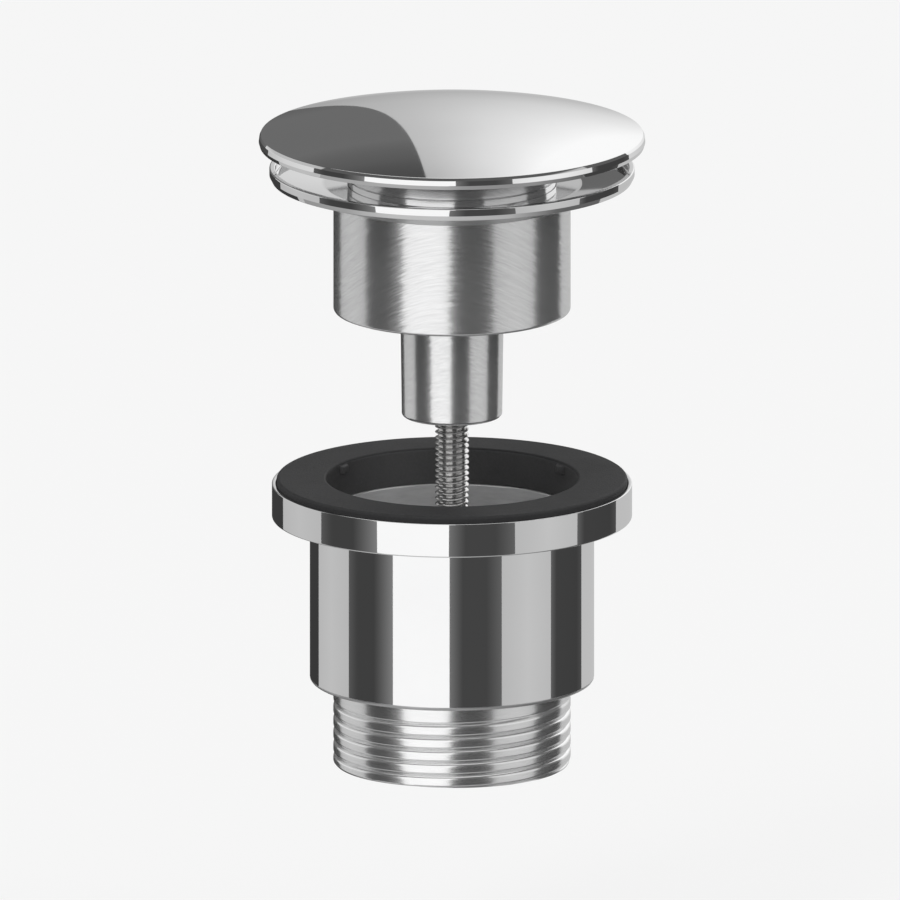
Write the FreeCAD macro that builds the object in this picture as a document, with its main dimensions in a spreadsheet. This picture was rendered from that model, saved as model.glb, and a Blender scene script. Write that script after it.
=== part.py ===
import FreeCAD
import Part
import os
import re
import Sketcher

# Click-clack basin waste, drawn closed and with its two halves apart.
# Millimetres, +Z up, origin on the axis at the open end of the threaded tail.

sizes = {
    # Lower casting: threaded tail, body and cup flange
    "tail_radius": 20.955,
    "tail_length": 15.0,
    "tail_wall": 3.555,
    "tail_chamfer": 0.3,
    "body_wall": 3.3,
    "body_height": 29.5,
    "bore_clearance": 0.85,
    "body_chamfer": 0.4,
    "neck_floor": 3.5,
    "neck_slope": 3.0,
    "cup_radius": 31.8,
    "cup_height": 6.1,
    "cup_wall": 0.7,
    "cup_floor": 2.0,
    "cup_chamfer": 0.3,
    "bar_width": 8.0,
    "bar_foot": 5.0,
    "bar_height": 9.0,
    "bar_root": 1.4,
    "boss_radius": 7.0,
    "boss_foot": 4.0,
    "boss_height": 12.0,
    "boss_lead": 1.0,
    # Rubber gasket in the cup
    "gasket_step": 0.4,
    "gasket_proud": 1.1,
    "gasket_bevel": 0.3,
    "gasket_gap": 0.1,
    "spigot_wall": 1.6,
    "spigot_depth": 1.3,
    "nib_count": 6,
    "nib_width": 2.0,
    "nib_reach": 0.6,
    "nib_height": 1.2,
    # Space for the basin, as the halves stand
    "basin_gap": 54.0,
    # Polished flange of the insert
    "flange_reach": 11.3,
    "flange_band": 1.3,
    "flange_taper": 0.45,
    "flange_taper_height": 0.9,
    "flange_edge": 0.15,
    "lip_width": 1.1,
    "lip_depth": 1.9,
    "cone_drop": 3.5,
    "throat_chamfer": 0.3,
    "neck_wall": 0.9,
    "neck_length": 3.7,
    # Sleeve, legs and cartridge stem of the insert casting
    "sleeve_radius": 20.95,
    "sleeve_wall": 1.35,
    "sleeve_length": 20.2,
    "sleeve_fillet": 0.6,
    "stem_wall": 1.37,
    "stem_taper": 0.48,
    "stem_length": 36.1,
    "stem_drop": 3.2,
    "stem_floor": 3.0,
    "stem_bore": 7.5,
    "stem_fillet": 0.6,
    "leg_count": 3,
    "leg_thickness": 2.6,
    "leg_drop": 2.5,
    "leg_height": 11.0,
    "leg_slope": 3.0,
    "leg_root": 0.7,
    # Clamping screw and its washer
    "screw_radius": 3.0,
    "screw_length": 60.0,
    "screw_point": 0.6,
    "screw_head_radius": 5.0,
    "screw_head_height": 3.9,
    "screw_head_round": 0.5,
    "socket_across": 5.0,
    "socket_depth": 2.6,
    "thread_gap": 0.05,
    "screw_gap": 0.3,
    "washer_gap": 0.7,
    "washer_height": 1.0,
    # Cartridge housing and what it holds
    "seal_height": 0.8,
    "collar_step": 0.23,
    "collar_height": 1.6,
    "housing_gap": 0.05,
    "housing_length": 26.6,
    "housing_wall": 0.9,
    "housing_roof": 3.0,
    "drum_gap": 0.1,
    "ring_wall": 1.1,
    "ring_height": 3.2,
    "ring_gap": 0.1,
    "clip_height": 0.7,
    "clip_seat": 0.3,
    "clip_width": 1.2,
    "clip_opening": 50.0,
    "clip_from_foot": 0.8,
    "base_height": 1.0,
    "spigot_height": 2.0,
    "vent_radius": 0.7,
    "vent_count": 3,
    # Plunger with its zigzag track
    "lift": 8.0,
    "over_press": 1.0,
    "drum_length": 13.2,
    "drum_bore": 3.2,
    "drum_roof": 2.0,
    "track_count": 4,
    "track_radius": 1.25,
    "track_margin": 2.0,
    "turn_room": 0.07,
    "lug_gap": 0.15,
    "rod_radius": 3.2,
    "rod_flat": 2.7,
    "rod_gap": 0.08,
    "rod_length": 11.9,
    "stud_length": 13.6,
    # Return spring
    "spring_wire": 0.6,
    "spring_radius": 2.72,
    "spring_turns": 7.5,
    # Plug under the cap
    "hub_gap": 0.35,
    "hub_height": 9.9,
    "hub_wall": 3.55,
    "hub_web": 2.5,
    "hub_boss_radius": 6.0,
    "hub_boss_height": 4.4,
    "hub_edge": 0.3,
    "seal_section": 1.2,
    "seal_reach": 0.3,
    "seal_from_foot": 2.0,
    "plug_below_floor": 4.0,
    "nut_across": 10.0,
    "nut_height": 2.0,
    "spring_washer_height": 0.8,
    # Domed cap
    "cap_radius": 34.13,
    "cap_foot_taper": 0.23,
    "cap_edge_taper": 0.33,
    "cap_taper_height": 0.8,
    "cap_band": 0.8,
    "cap_edge_height": 0.5,
    "cap_rise": 4.4,
    "cap_wall": 1.0,
    "plate_height": 1.0,
    "plate_gap": 0.1,
    "plate_recess": 0.1,
    "bush_radius": 5.0,
    "bush_height": 2.7,
}

# Radii and widths of what fits together, each from its neighbour and a clearance
fits = {
    "tail_bore": "tail_radius - tail_wall",
    "body_bore": "sleeve_radius + bore_clearance",
    "body_radius": "body_bore + body_wall",
    "gasket_hole": "body_bore + gasket_step",
    "spigot_radius": "body_bore + spigot_wall",
    "flange_radius": "sleeve_radius + flange_reach",
    "throat_radius": "sleeve_radius - sleeve_wall - neck_wall",
    "stem_foot_radius": "stem_bore + stem_wall",
    "stem_top_radius": "stem_foot_radius + stem_taper",
    "washer_radius": "stem_bore - washer_gap",
    "collar_across": "2 * (stem_top_radius - collar_step) * cos(30)",
    "housing_radius": "stem_bore - housing_gap",
    "drum_radius": "housing_radius - housing_wall - 2 * drum_gap - ring_wall",
    "hub_radius": "throat_radius - hub_gap",
    "cap_foot_radius": "cap_radius - cap_foot_taper",
    "cap_edge_radius": "cap_radius - cap_edge_taper",
}

# Heights of the seats, each from the pieces below it
seats = {
    "body_foot": "tail_length",
    "cup_foot": "tail_length + body_height",
    "cup_seat": "tail_length + body_height + cup_floor",
    "cup_top": "tail_length + body_height + cup_height",
    "gasket_top": "cup_top + gasket_proud",
    "flange_foot": "gasket_top + basin_gap",
    "flange_top": "flange_foot + flange_taper_height + flange_band",
    "dish_floor": "flange_top - lip_depth",
    "sleeve_top": "flange_foot - cone_drop",
    "stem_top": "sleeve_top - stem_drop",
    "stem_foot": "stem_top - stem_length",
    "screw_seat": "stem_foot + stem_floor + washer_height",
    "collar_foot": "stem_top + seal_height",
    "clip_foot": "collar_foot - housing_length + clip_from_foot",
    "base_foot": "clip_foot + clip_height",
    "base_top": "base_foot + base_height",
    "drum_foot": "base_top + over_press",
    "drum_top": "drum_foot + drum_length",
    "ring_middle": "drum_top - track_margin",
    "ring_top": "ring_middle + ring_height / 2",
    "hub_foot": "dish_floor - plug_below_floor",
    "hub_top": "hub_foot + hub_height",
    "hub_boss_foot": "hub_top - hub_web - hub_boss_height",
    "cap_foot": "hub_top - plate_recess",
}

doc = FreeCAD.newDocument("BasinWaste")
sheet = doc.addObject("Spreadsheet::Sheet", "Sizes")
pieces = {}


def formula(text):
    """Point each size's name in a formula at its cell."""
    def cell(word):
        name = word.group(0)
        return "Sizes." + name if name in sizes or name in fits or name in seats else name
    return re.sub(r"[a-z][a-z_]+", cell, text)


def fill_sheet():
    """Write the driving sizes as numbers, and the fits and seats as formulas."""
    row = 1
    for name, number in sizes.items():
        sheet.set("A%d" % row, name)
        sheet.set("B%d" % row, str(number))
        sheet.setAlias("B%d" % row, name)
        row += 1
    for name, text in {**fits, **seats}.items():
        sheet.set("A%d" % row, name)
        sheet.setAlias("B%d" % row, name)
        sheet.set("B%d" % row, "=" + text)
        row += 1
    doc.recompute()


def value(text):
    """Work out a formula from the sheet."""
    return float(sheet.evalExpression(formula(text)))


def bind(thing, **texts):
    """Tie properties of an object to formulas; x, y and z place it."""
    for name, text in texts.items():
        path = "Placement.Base." + name if name in ("x", "y", "z") else name
        thing.setExpression(path, formula(text))
    return thing


def keep(name, thing, seat=None):
    """Label a finished piece, set it on its seat and list it for export."""
    thing.Label = name
    if seat:
        bind(thing, z=seat)
    pieces[name] = thing
    return thing


def draw(sketch, outline):
    """Draw a closed outline of (across, up) corners; a third item is an arc's centre height."""
    corners = [FreeCAD.Vector(value(corner[0]), value(corner[1]), 0) for corner in outline]
    ends = []
    for index, corner in enumerate(outline):
        start = corners[index]
        end = corners[(index + 1) % len(corners)]
        if len(corner) == 3:
            middle = FreeCAD.Vector(0, value(corner[2]), 0)
            circle = Part.Circle(middle, FreeCAD.Vector(0, 0, 1), (start - middle).Length)
            turn = circle.parameter(start)
            stop = circle.parameter(end)
            forward = turn < stop
            edge = sketch.addGeometry(Part.ArcOfCircle(circle, min(turn, stop), max(turn, stop)))
            ends.append((edge, 1, 2) if forward else (edge, 2, 1))
        else:
            edge = sketch.addGeometry(Part.LineSegment(start, end))
            ends.append((edge, 1, 2))
    for index, (edge, first, last) in enumerate(ends):
        following, following_first, _ = ends[(index + 1) % len(ends)]
        sketch.addConstraint(Sketcher.Constraint("Coincident", edge, last, following, following_first))
    for corner, place, (edge, first, last) in zip(outline, corners, ends):
        across = sketch.addConstraint(Sketcher.Constraint("DistanceX", -1, 1, edge, first, place.x))
        sketch.setExpression("Constraints[%d]" % across, formula(corner[0]))
        up = sketch.addConstraint(Sketcher.Constraint("DistanceY", -1, 1, edge, first, place.y))
        sketch.setExpression("Constraints[%d]" % up, formula(corner[1]))
        if len(corner) == 3:
            centre = sketch.addConstraint(Sketcher.Constraint("DistanceY", -1, 1, edge, 3, value(corner[2])))
            sketch.setExpression("Constraints[%d]" % centre, formula(corner[2]))


def new_sketch(body, name, plane, outline):
    """Draw an outline on one of the body's own origin planes."""
    sketch = body.newObject("Sketcher::SketchObject", name)
    face = [item for item in body.Origin.OriginFeatures if item.Role == plane][0]
    sketch.AttachmentSupport = [(face, "")]
    sketch.MapMode = "FlatFace"
    draw(sketch, outline)
    return sketch


def new_body(name):
    return doc.addObject("PartDesign::Body", name)


def turn_outline(body, name, outline):
    """Revolve an outline of (radius, height) corners about the axis."""
    sketch = new_sketch(body, name + "_outline", "XZ_Plane", outline)
    feature = body.newObject("PartDesign::Revolution", name)
    feature.Profile = sketch
    feature.ReferenceAxis = (sketch, ["V_Axis"])
    feature.Angle = 360
    body.Tip = feature
    doc.recompute()
    return feature


def pad_outline(body, name, plane, outline, thickness):
    """Thicken an outline equally to both sides of its plane."""
    sketch = new_sketch(body, name + "_outline", plane, outline)
    feature = body.newObject("PartDesign::Pad", name)
    feature.Profile = sketch
    feature.Midplane = True
    bind(feature, Length=thickness)
    body.Tip = feature
    doc.recompute()
    return feature


def repeat_about_axis(body, name, feature, count):
    """Repeat a feature evenly about the body's axis."""
    axis = [item for item in body.Origin.OriginFeatures if item.Role == "Z_Axis"][0]
    pattern = body.newObject("PartDesign::PolarPattern", name)
    pattern.Originals = [feature]
    pattern.Axis = (axis, [""])
    pattern.Angle = 360
    bind(pattern, Occurrences=count)
    body.Tip = pattern
    doc.recompute()
    return pattern


def round_edge(body, name, radius, height, size):
    """Fillet the circular edge that lies at one radius and height of the body."""
    base = body.Tip
    near = 0.01
    edges = []
    for index, edge in enumerate(base.Shape.Edges, 1):
        curve = edge.Curve
        if not isinstance(curve, Part.Circle):
            continue
        off_radius = abs(curve.Radius - value(radius))
        off_height = abs(curve.Center.z - value(height))
        if off_radius < near and off_height < near:
            edges.append("Edge%d" % index)
    fillet = body.newObject("PartDesign::Fillet", name)
    fillet.Base = (base, edges)
    bind(fillet, Radius=size)
    body.Tip = fillet
    doc.recompute()


def primitive(kind, name, **texts):
    """Make a Part primitive with its sizes and place bound to formulas."""
    return bind(doc.addObject("Part::" + kind, name), **texts)


def fuse(name, parts):
    joined = doc.addObject("Part::MultiFuse", name)
    joined.Shapes = parts
    return joined


def cut(name, base, tool):
    result = doc.addObject("Part::Cut", name)
    result.Base = base
    result.Tool = tool
    return result


def swing(thing, axis, degrees):
    """Turn an object about an axis through its own origin by a formula in degrees."""
    thing.Placement.Rotation = FreeCAD.Rotation(FreeCAD.Vector(*axis), 1)
    thing.setExpression("Placement.Rotation.Angle", formula(degrees))


def point_outwards(thing, degrees):
    """Lay an object's own axis along the radius at a formula in degrees."""
    thing.Placement.Rotation = FreeCAD.Rotation(value(degrees), 90, 0)


def sweep_wire(name, helix, circle):
    """Sweep a round section along a helix, square to its start."""
    doc.recompute()
    sweep = doc.addObject("Part::Sweep", name)
    sweep.Sections = [circle]
    sweep.Spine = (helix, ["Edge%d" % (index + 1) for index in range(len(helix.Shape.Edges))])
    sweep.Solid = True
    sweep.Frenet = True
    return sweep


def lower_body():
    """Cast tail, body and cup, with the tapped bar that the clamping screw pulls on."""
    casting = new_body("lower_casting")
    turn_outline(casting, "shell", [
        ("tail_bore", "0"),
        ("tail_radius - tail_chamfer", "0"),
        ("tail_radius", "tail_chamfer"),
        ("tail_radius", "body_foot"),
        ("body_radius - body_chamfer", "body_foot"),
        ("body_radius", "body_foot + body_chamfer"),
        ("body_radius", "cup_foot"),
        ("cup_radius - cup_chamfer", "cup_foot"),
        ("cup_radius", "cup_foot + cup_chamfer"),
        ("cup_radius", "cup_top"),
        ("cup_radius - cup_wall", "cup_top"),
        ("cup_radius - cup_wall", "cup_seat"),
        ("spigot_radius + gasket_gap", "cup_seat"),
        ("spigot_radius + gasket_gap", "cup_seat - spigot_depth"),
        ("body_bore", "cup_seat - spigot_depth"),
        ("body_bore", "body_foot + neck_floor"),
        ("tail_bore", "body_foot + neck_floor - neck_slope"),
    ])
    bar = new_body("crossbar")
    pad_outline(bar, "bar", "YZ_Plane", [
        ("bar_width / 2", "bar_foot"),
        ("bar_width / 2", "bar_foot + bar_height - bar_width / 2", "bar_foot + bar_height - bar_width / 2"),
        ("-bar_width / 2", "bar_foot + bar_height - bar_width / 2"),
        ("-bar_width / 2", "bar_foot"),
    ], "2 * (tail_bore + bar_root)")
    boss = new_body("screw_boss")
    turn_outline(boss, "boss", [
        ("screw_radius + thread_gap", "boss_foot"),
        ("boss_radius - boss_lead", "boss_foot"),
        ("boss_radius", "boss_foot + boss_lead"),
        ("boss_radius", "boss_foot + boss_height - boss_lead"),
        ("boss_radius - boss_lead", "boss_foot + boss_height"),
        ("screw_radius + thread_gap + boss_lead / 2", "boss_foot + boss_height"),
        ("screw_radius + thread_gap", "boss_foot + boss_height - boss_lead / 2"),
    ])
    thread = primitive("Cylinder", "tapped_hole", Radius="screw_radius + thread_gap", Height="2 * body_foot")
    solid_bar = cut("drilled_bar", bar, thread)
    keep("lower_body", fuse("lower_body_solid", [casting, solid_bar, boss]))


def rubber_gasket():
    """Thick ring that fills the cup, with small nibs round its hole."""
    body = new_body("gasket")
    outside = "cup_radius - cup_wall - gasket_gap"
    top = "cup_height - cup_floor + gasket_proud"
    turn_outline(body, "ring", [
        ("gasket_hole", "-spigot_depth"),
        ("spigot_radius", "-spigot_depth"),
        ("spigot_radius", "0"),
        (outside, "0"),
        (outside, top + " - gasket_bevel"),
        (outside + " - gasket_bevel", top),
        ("gasket_hole + gasket_bevel", top),
        ("gasket_hole", top + " - gasket_bevel"),
    ])
    nib = pad_outline(body, "nib", "YZ_Plane", [
        ("gasket_hole - nib_reach", top + " - gasket_bevel - nib_height"),
        ("gasket_hole + nib_reach", top + " - gasket_bevel - nib_height"),
        ("gasket_hole + nib_reach", top + " - gasket_bevel"),
        ("gasket_hole - nib_reach", top + " - gasket_bevel"),
    ], "nib_width")
    repeat_about_axis(body, "nibs", nib, "nib_count")
    keep("rubber_gasket", body, "cup_seat")


def flange_dish():
    """Polished dish with a raised lip, a coned underside and the throat that the plug closes."""
    body = new_body("dish")
    lip = "flange_radius - lip_width"
    turn_outline(body, "rim", [
        ("throat_radius", "-cone_drop - neck_length"),
        ("sleeve_radius - sleeve_wall", "-cone_drop - neck_length"),
        ("sleeve_radius - sleeve_wall", "-cone_drop"),
        ("sleeve_radius", "-cone_drop"),
        ("flange_radius - flange_taper", "0"),
        ("flange_radius", "flange_taper_height"),
        ("flange_radius", "flange_taper_height + flange_band - flange_edge"),
        ("flange_radius - flange_edge", "flange_taper_height + flange_band"),
        (lip + " + flange_edge", "flange_taper_height + flange_band"),
        (lip, "flange_taper_height + flange_band - flange_edge"),
        (lip, "flange_taper_height + flange_band - lip_depth"),
        ("throat_radius + throat_chamfer", "flange_taper_height + flange_band - lip_depth"),
        ("throat_radius", "flange_taper_height + flange_band - lip_depth - throat_chamfer"),
    ])
    keep("flange_dish", body, "flange_foot")


def sleeve_casting():
    """Sleeve that fits the basin's hole, with legs that carry the long cartridge stem."""
    body = new_body("casting")
    inside = "sleeve_radius - sleeve_wall"
    stem_foot = "-stem_drop - stem_length"
    turn_outline(body, "stem", [
        ("screw_radius + screw_gap", stem_foot),
        ("stem_foot_radius", stem_foot),
        ("stem_top_radius", "-stem_drop"),
        ("stem_bore", "-stem_drop"),
        ("stem_bore", stem_foot + " + stem_floor"),
        ("screw_radius + screw_gap", stem_foot + " + stem_floor"),
    ])
    round_edge(body, "stem_round", "stem_foot_radius", stem_foot, "stem_fillet")
    leg = pad_outline(body, "leg", "YZ_Plane", [
        ("(stem_bore + stem_foot_radius) / 2", "-stem_drop - leg_drop - leg_height"),
        (inside, "-stem_drop - leg_drop - leg_height + leg_slope"),
        (inside + " + leg_root", "-stem_drop - leg_drop - leg_height + leg_slope"),
        (inside + " + leg_root", "-stem_drop - leg_drop - leg_slope"),
        (inside, "-stem_drop - leg_drop - leg_slope"),
        ("(stem_bore + stem_foot_radius) / 2", "-stem_drop - leg_drop"),
    ], "leg_thickness")
    repeat_about_axis(body, "legs", leg, "leg_count")
    turn_outline(body, "sleeve", [
        (inside, "-sleeve_length"),
        ("sleeve_radius", "-sleeve_length"),
        ("sleeve_radius", "0"),
        (inside, "0"),
    ])
    round_edge(body, "sleeve_round", "sleeve_radius", "-sleeve_length", "sleeve_fillet")
    keep("sleeve_casting", body, "sleeve_top")


def clamp_screw():
    """Long screw with a round head and a hexagon socket."""
    body = new_body("screw_blank")
    turn_outline(body, "screw", [
        ("0", "-screw_length"),
        ("screw_radius - screw_point", "-screw_length"),
        ("screw_radius", "-screw_length + screw_point"),
        ("screw_radius", "0"),
        ("screw_head_radius", "0"),
        ("screw_head_radius", "screw_head_height - screw_head_round"),
        ("screw_head_radius - screw_head_round", "screw_head_height"),
        ("0", "screw_head_height"),
    ])
    socket = primitive("Prism", "socket", Circumradius="socket_across / 2 / cos(30)",
                       Height="socket_depth", z="screw_head_height - socket_depth")
    keep("clamp_screw", cut("screw_solid", body, socket), "screw_seat")


def flat_ring(name, inner, outer, height, seat):
    """Plain washer or seal."""
    body = new_body(name + "_ring")
    turn_outline(body, "section", [(inner, "0"), (outer, "0"), (outer, height), (inner, height)])
    keep(name, body, seat)


def cartridge_housing():
    """Moulded tube with a hexagon collar and a roof that keys the plunger's rod."""
    body = new_body("housing_tube")
    wide = "housing_radius - housing_wall"
    snap = wide + " + clip_seat + drum_gap / 2"
    shoulder = "ring_top + ring_gap - collar_foot"
    clip = "clip_foot - drum_gap / 2 - collar_foot"
    turn_outline(body, "tube", [
        (wide, "-housing_length"),
        ("housing_radius", "-housing_length"),
        ("housing_radius", "collar_height"),
        ("drum_radius + drum_gap", "collar_height"),
        ("drum_radius + drum_gap", shoulder),
        (wide, shoulder),
        (wide, clip + " + clip_height + drum_gap / 2"),
        (snap, clip + " + clip_height + drum_gap / 2"),
        (snap, clip),
        (wide, clip),
    ])
    collar = primitive("Prism", "collar", Circumradius="collar_across / 2 / cos(30)", Height="collar_height")
    roof = primitive("Cylinder", "roof", Radius="housing_radius", Height="housing_roof",
                     z="collar_height - housing_roof")
    hollow = primitive("Cylinder", "collar_bore", Radius="drum_radius + drum_gap", Height="collar_height")
    round_hole = primitive("Cylinder", "rod_hole", Radius="rod_radius + rod_gap",
                           Height="housing_roof", z="collar_height - housing_roof")
    flat_hole = primitive("Box", "rod_key", Length="2 * (rod_flat + rod_gap)", Width="4 * rod_radius",
                          Height="housing_roof", x="-rod_flat - rod_gap", y="-2 * rod_radius",
                          z="collar_height - housing_roof")
    key = doc.addObject("Part::MultiCommon", "rod_passage")
    key.Shapes = [round_hole, flat_hole]
    ring = cut("collar_ring", collar, hollow)
    keyed_roof = cut("keyed_roof", roof, key)
    keep("cartridge_housing", fuse("housing_solid", [body, ring, keyed_roof]), "collar_foot")


def cartridge_liner():
    """Liner that guides the plunger's drum and holds the cam ring up to its shoulder."""
    flat_ring("cartridge_liner", "drum_radius + drum_gap", "housing_radius - housing_wall - drum_gap / 2",
              "ring_middle - ring_height / 2 - ring_gap - base_top", "base_top")


def cam_ring():
    """Ring that turns as its round lugs follow the plunger's track."""
    body = new_body("ring")
    turn_outline(body, "band", [
        ("drum_radius + drum_gap", "-ring_height / 2"),
        ("housing_radius - housing_wall - drum_gap", "-ring_height / 2"),
        ("housing_radius - housing_wall - drum_gap", "ring_height / 2"),
        ("drum_radius + drum_gap", "ring_height / 2"),
    ])
    parts = [body]
    for index in range(int(value("track_count"))):
        degrees = "360 * %d / track_count" % index
        lug = primitive("Sphere", "lug", Radius="track_radius - lug_gap",
                        x="drum_radius * cos(%s)" % degrees, y="drum_radius * sin(%s)" % degrees)
        point_outwards(lug, degrees)
        parts.append(lug)
    keep("cam_ring", fuse("ring_solid", parts), "ring_middle")


def cartridge_base():
    """Disc that closes the housing and centres the spring."""
    body = new_body("base_disc")
    turn_outline(body, "disc", [
        ("0", "0"),
        ("housing_radius - housing_wall - drum_gap / 2", "0"),
        ("housing_radius - housing_wall - drum_gap / 2", "base_height"),
        ("spring_radius - spring_wire", "base_height"),
        ("spring_radius - spring_wire", "base_height + spigot_height"),
        ("0", "base_height + spigot_height"),
    ])
    vents = []
    for index in range(int(value("vent_count"))):
        vent = primitive("Cylinder", "vent", Radius="vent_radius", Height="base_height")
        bind(vent, x="(drum_bore + drum_radius) / 2 * cos(360 * %d / vent_count)" % index,
             y="(drum_bore + drum_radius) / 2 * sin(360 * %d / vent_count)" % index)
        vents.append(vent)
    keep("cartridge_base", cut("base_solid", body, fuse("vents", vents)), "base_foot")


def retaining_clip():
    """Open snap ring in the housing's groove, under the base."""
    body = new_body("clip_ring")
    outer = "housing_radius - housing_wall + clip_seat"
    turn_outline(body, "clip", [
        (outer + " - clip_width", "0"),
        (outer, "0"),
        (outer, "clip_height"),
        (outer + " - clip_width", "clip_height"),
    ])
    opening = primitive("Cylinder", "clip_opening_wedge", Radius="2 * housing_radius",
                        Height="clip_height", Angle="clip_opening")
    swing(opening, (0, 0, 1), "-90 - clip_opening / 2")
    keep("retaining_clip", cut("clip_solid", body, opening), "clip_foot")


def cartridge_spring():
    """Compression spring between the base and the roof of the plunger's bore."""
    length = "drum_foot + drum_length - drum_roof - base_top - spring_wire"
    helix = primitive("Helix", "spring_path", Radius="spring_radius", Height=length,
                      Pitch="(%s) / spring_turns" % length, z="spring_wire / 2")
    section = primitive("Circle", "spring_section", Radius="spring_wire / 2", x="spring_radius",
                        z="spring_wire / 2")
    swing(section, (1, 0, 0), "90")
    keep("cartridge_spring", sweep_wire("spring_coil", helix, section), "base_top")


def track_leg(name, left_handed, degrees):
    """One leg of the zigzag: the path of a ball up a steep helix, from a low turn to a high one."""
    start = "drum_length - track_margin - lift"
    helix = primitive("Helix", name + "_path", Radius="drum_radius", Height="lift",
                      Pitch="2 * track_count * lift", z=start)
    helix.LocalCoord = 1 if left_handed else 0
    section = primitive("Circle", name + "_section", Radius="track_radius", x="drum_radius", z=start)
    lean = "atan(drum_radius * pi / track_count / lift)"
    swing(section, (1, 0, 0), lean if left_handed else "-" + lean)
    leg = sweep_wire(name, helix, section)
    swing(leg, (0, 0, 1), degrees)
    return leg


def track_turn(name, index, height):
    """Round pocket, square to the axis, where two legs of the zigzag meet."""
    degrees = "180 * %d / track_count" % index
    reach = "(drum_radius - track_radius - turn_room)"
    pocket = primitive("Cylinder", name, Radius="track_radius + turn_room", Height="2 * track_radius",
                       x=reach + " * cos(%s)" % degrees, y=reach + " * sin(%s)" % degrees, z=height)
    point_outwards(pocket, degrees)
    return pocket


def plunger():
    """Drum with a zigzag track round it, a keyed rod and the threaded stud that carries the plug."""
    body = new_body("plunger_blank")
    stud_foot = "drum_length + rod_length"
    turn_outline(body, "blank", [
        ("drum_bore", "0"),
        ("drum_radius", "0"),
        ("drum_radius", "drum_length"),
        ("rod_radius", "drum_length"),
        ("rod_radius", stud_foot),
        ("screw_radius", stud_foot),
        ("screw_radius", stud_foot + " + stud_length - screw_point"),
        ("screw_radius - screw_point", stud_foot + " + stud_length"),
        ("0", stud_foot + " + stud_length"),
        ("0", "drum_length - drum_roof"),
        ("drum_bore", "drum_length - drum_roof"),
    ])
    turns = range(2 * int(value("track_count")))
    high = "drum_length - track_margin"
    cutters = [track_leg("rising_leg", False, "180 * %d / track_count" % index) for index in turns[1::2]]
    cutters += [track_leg("falling_leg", True, "180 * %d / track_count" % index) for index in turns[1::2]]
    cutters += [track_turn("low_turn", index, high + " - lift") for index in turns[1::2]]
    cutters += [track_turn("high_turn", index, high) for index in turns[::2]]
    solid = body
    for cutter in cutters:
        solid = cut("track_cut", solid, cutter)
    for side, place in (("left_flat", "-rod_flat - rod_radius"), ("right_flat", "rod_flat")):
        flat = primitive("Box", side, Length="rod_radius", Width="4 * rod_radius", Height="rod_length",
                         x=place, y="-2 * rod_radius", z="drum_length")
        solid = cut(side + "_cut", solid, flat)
    keep("plunger", solid, "drum_foot")


def plug_hub():
    """Brushed plug, hollow below, with a groove for its seal and a central boss."""
    body = new_body("hub")
    inside = "hub_radius - hub_wall"
    groove = "hub_radius + seal_reach - 2 * seal_section"
    turn_outline(body, "hub_turned", [
        (inside, "0"),
        ("hub_radius - hub_edge", "0"),
        ("hub_radius", "hub_edge"),
        ("hub_radius", "seal_from_foot - seal_section"),
        (groove, "seal_from_foot - seal_section"),
        (groove, "seal_from_foot + seal_section"),
        ("hub_radius", "seal_from_foot + seal_section"),
        ("hub_radius", "hub_height"),
        ("screw_radius + thread_gap", "hub_height"),
        ("screw_radius + thread_gap", "hub_height - hub_web - hub_boss_height"),
        ("hub_boss_radius", "hub_height - hub_web - hub_boss_height"),
        ("hub_boss_radius", "hub_height - hub_web"),
        (inside, "hub_height - hub_web"),
    ])
    keep("plug_hub", body, "hub_foot")


def plug_seal():
    """Rubber ring that closes the throat when the plug is down."""
    ring = primitive("Torus", "seal_ring", Radius1="hub_radius + seal_reach - seal_section",
                     Radius2="seal_section")
    keep("plug_seal", ring, "hub_foot + seal_from_foot")


def hub_nut():
    """Nut that locks the plug on the plunger's stud."""
    blank = primitive("Prism", "nut_blank", Circumradius="nut_across / 2 / cos(30)", Height="nut_height")
    hole = primitive("Cylinder", "nut_hole", Radius="screw_radius + thread_gap", Height="nut_height")
    keep("hub_nut", cut("nut_solid", blank, hole), "hub_boss_foot - spring_washer_height - nut_height")


def cap_plate():
    """Disc crimped into the cap's rim, with the threaded bush that takes the stud."""
    body = new_body("plate")
    turn_outline(body, "plate_turned", [
        ("screw_radius + thread_gap", "0"),
        ("cap_radius - cap_wall - plate_gap", "0"),
        ("cap_radius - cap_wall - plate_gap", "plate_height"),
        ("bush_radius", "plate_height"),
        ("bush_radius", "plate_height + bush_height"),
        ("screw_radius + thread_gap", "plate_height + bush_height"),
    ])
    keep("cap_plate", body, "hub_top")


def dome_cap():
    """Polished dome with a turned-down rim."""
    body = new_body("dome")
    edge = "cap_taper_height + cap_band + cap_edge_height"
    inner_edge = "plate_recess + plate_height"
    inner_rise = "(%s + cap_rise - cap_wall - (%s))" % (edge, inner_edge)
    centre = "%s + cap_rise - (cap_edge_radius ^ 2 + cap_rise ^ 2) / (2 * cap_rise)" % edge
    inner = "cap_radius - cap_wall"
    inner_centre = "%s + %s - ((%s) ^ 2 + %s ^ 2) / (2 * %s)" % (
        inner_edge, inner_rise, inner, inner_rise, inner_rise)
    turn_outline(body, "dome_shell", [
        (inner, "0"),
        ("cap_foot_radius", "0"),
        ("cap_radius", "cap_taper_height"),
        ("cap_radius", "cap_taper_height + cap_band"),
        ("cap_edge_radius", edge, centre),
        ("0", edge + " + cap_rise"),
        ("0", edge + " + cap_rise - cap_wall", inner_centre),
        (inner, inner_edge),
    ])
    keep("dome_cap", body, "cap_foot")


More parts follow.
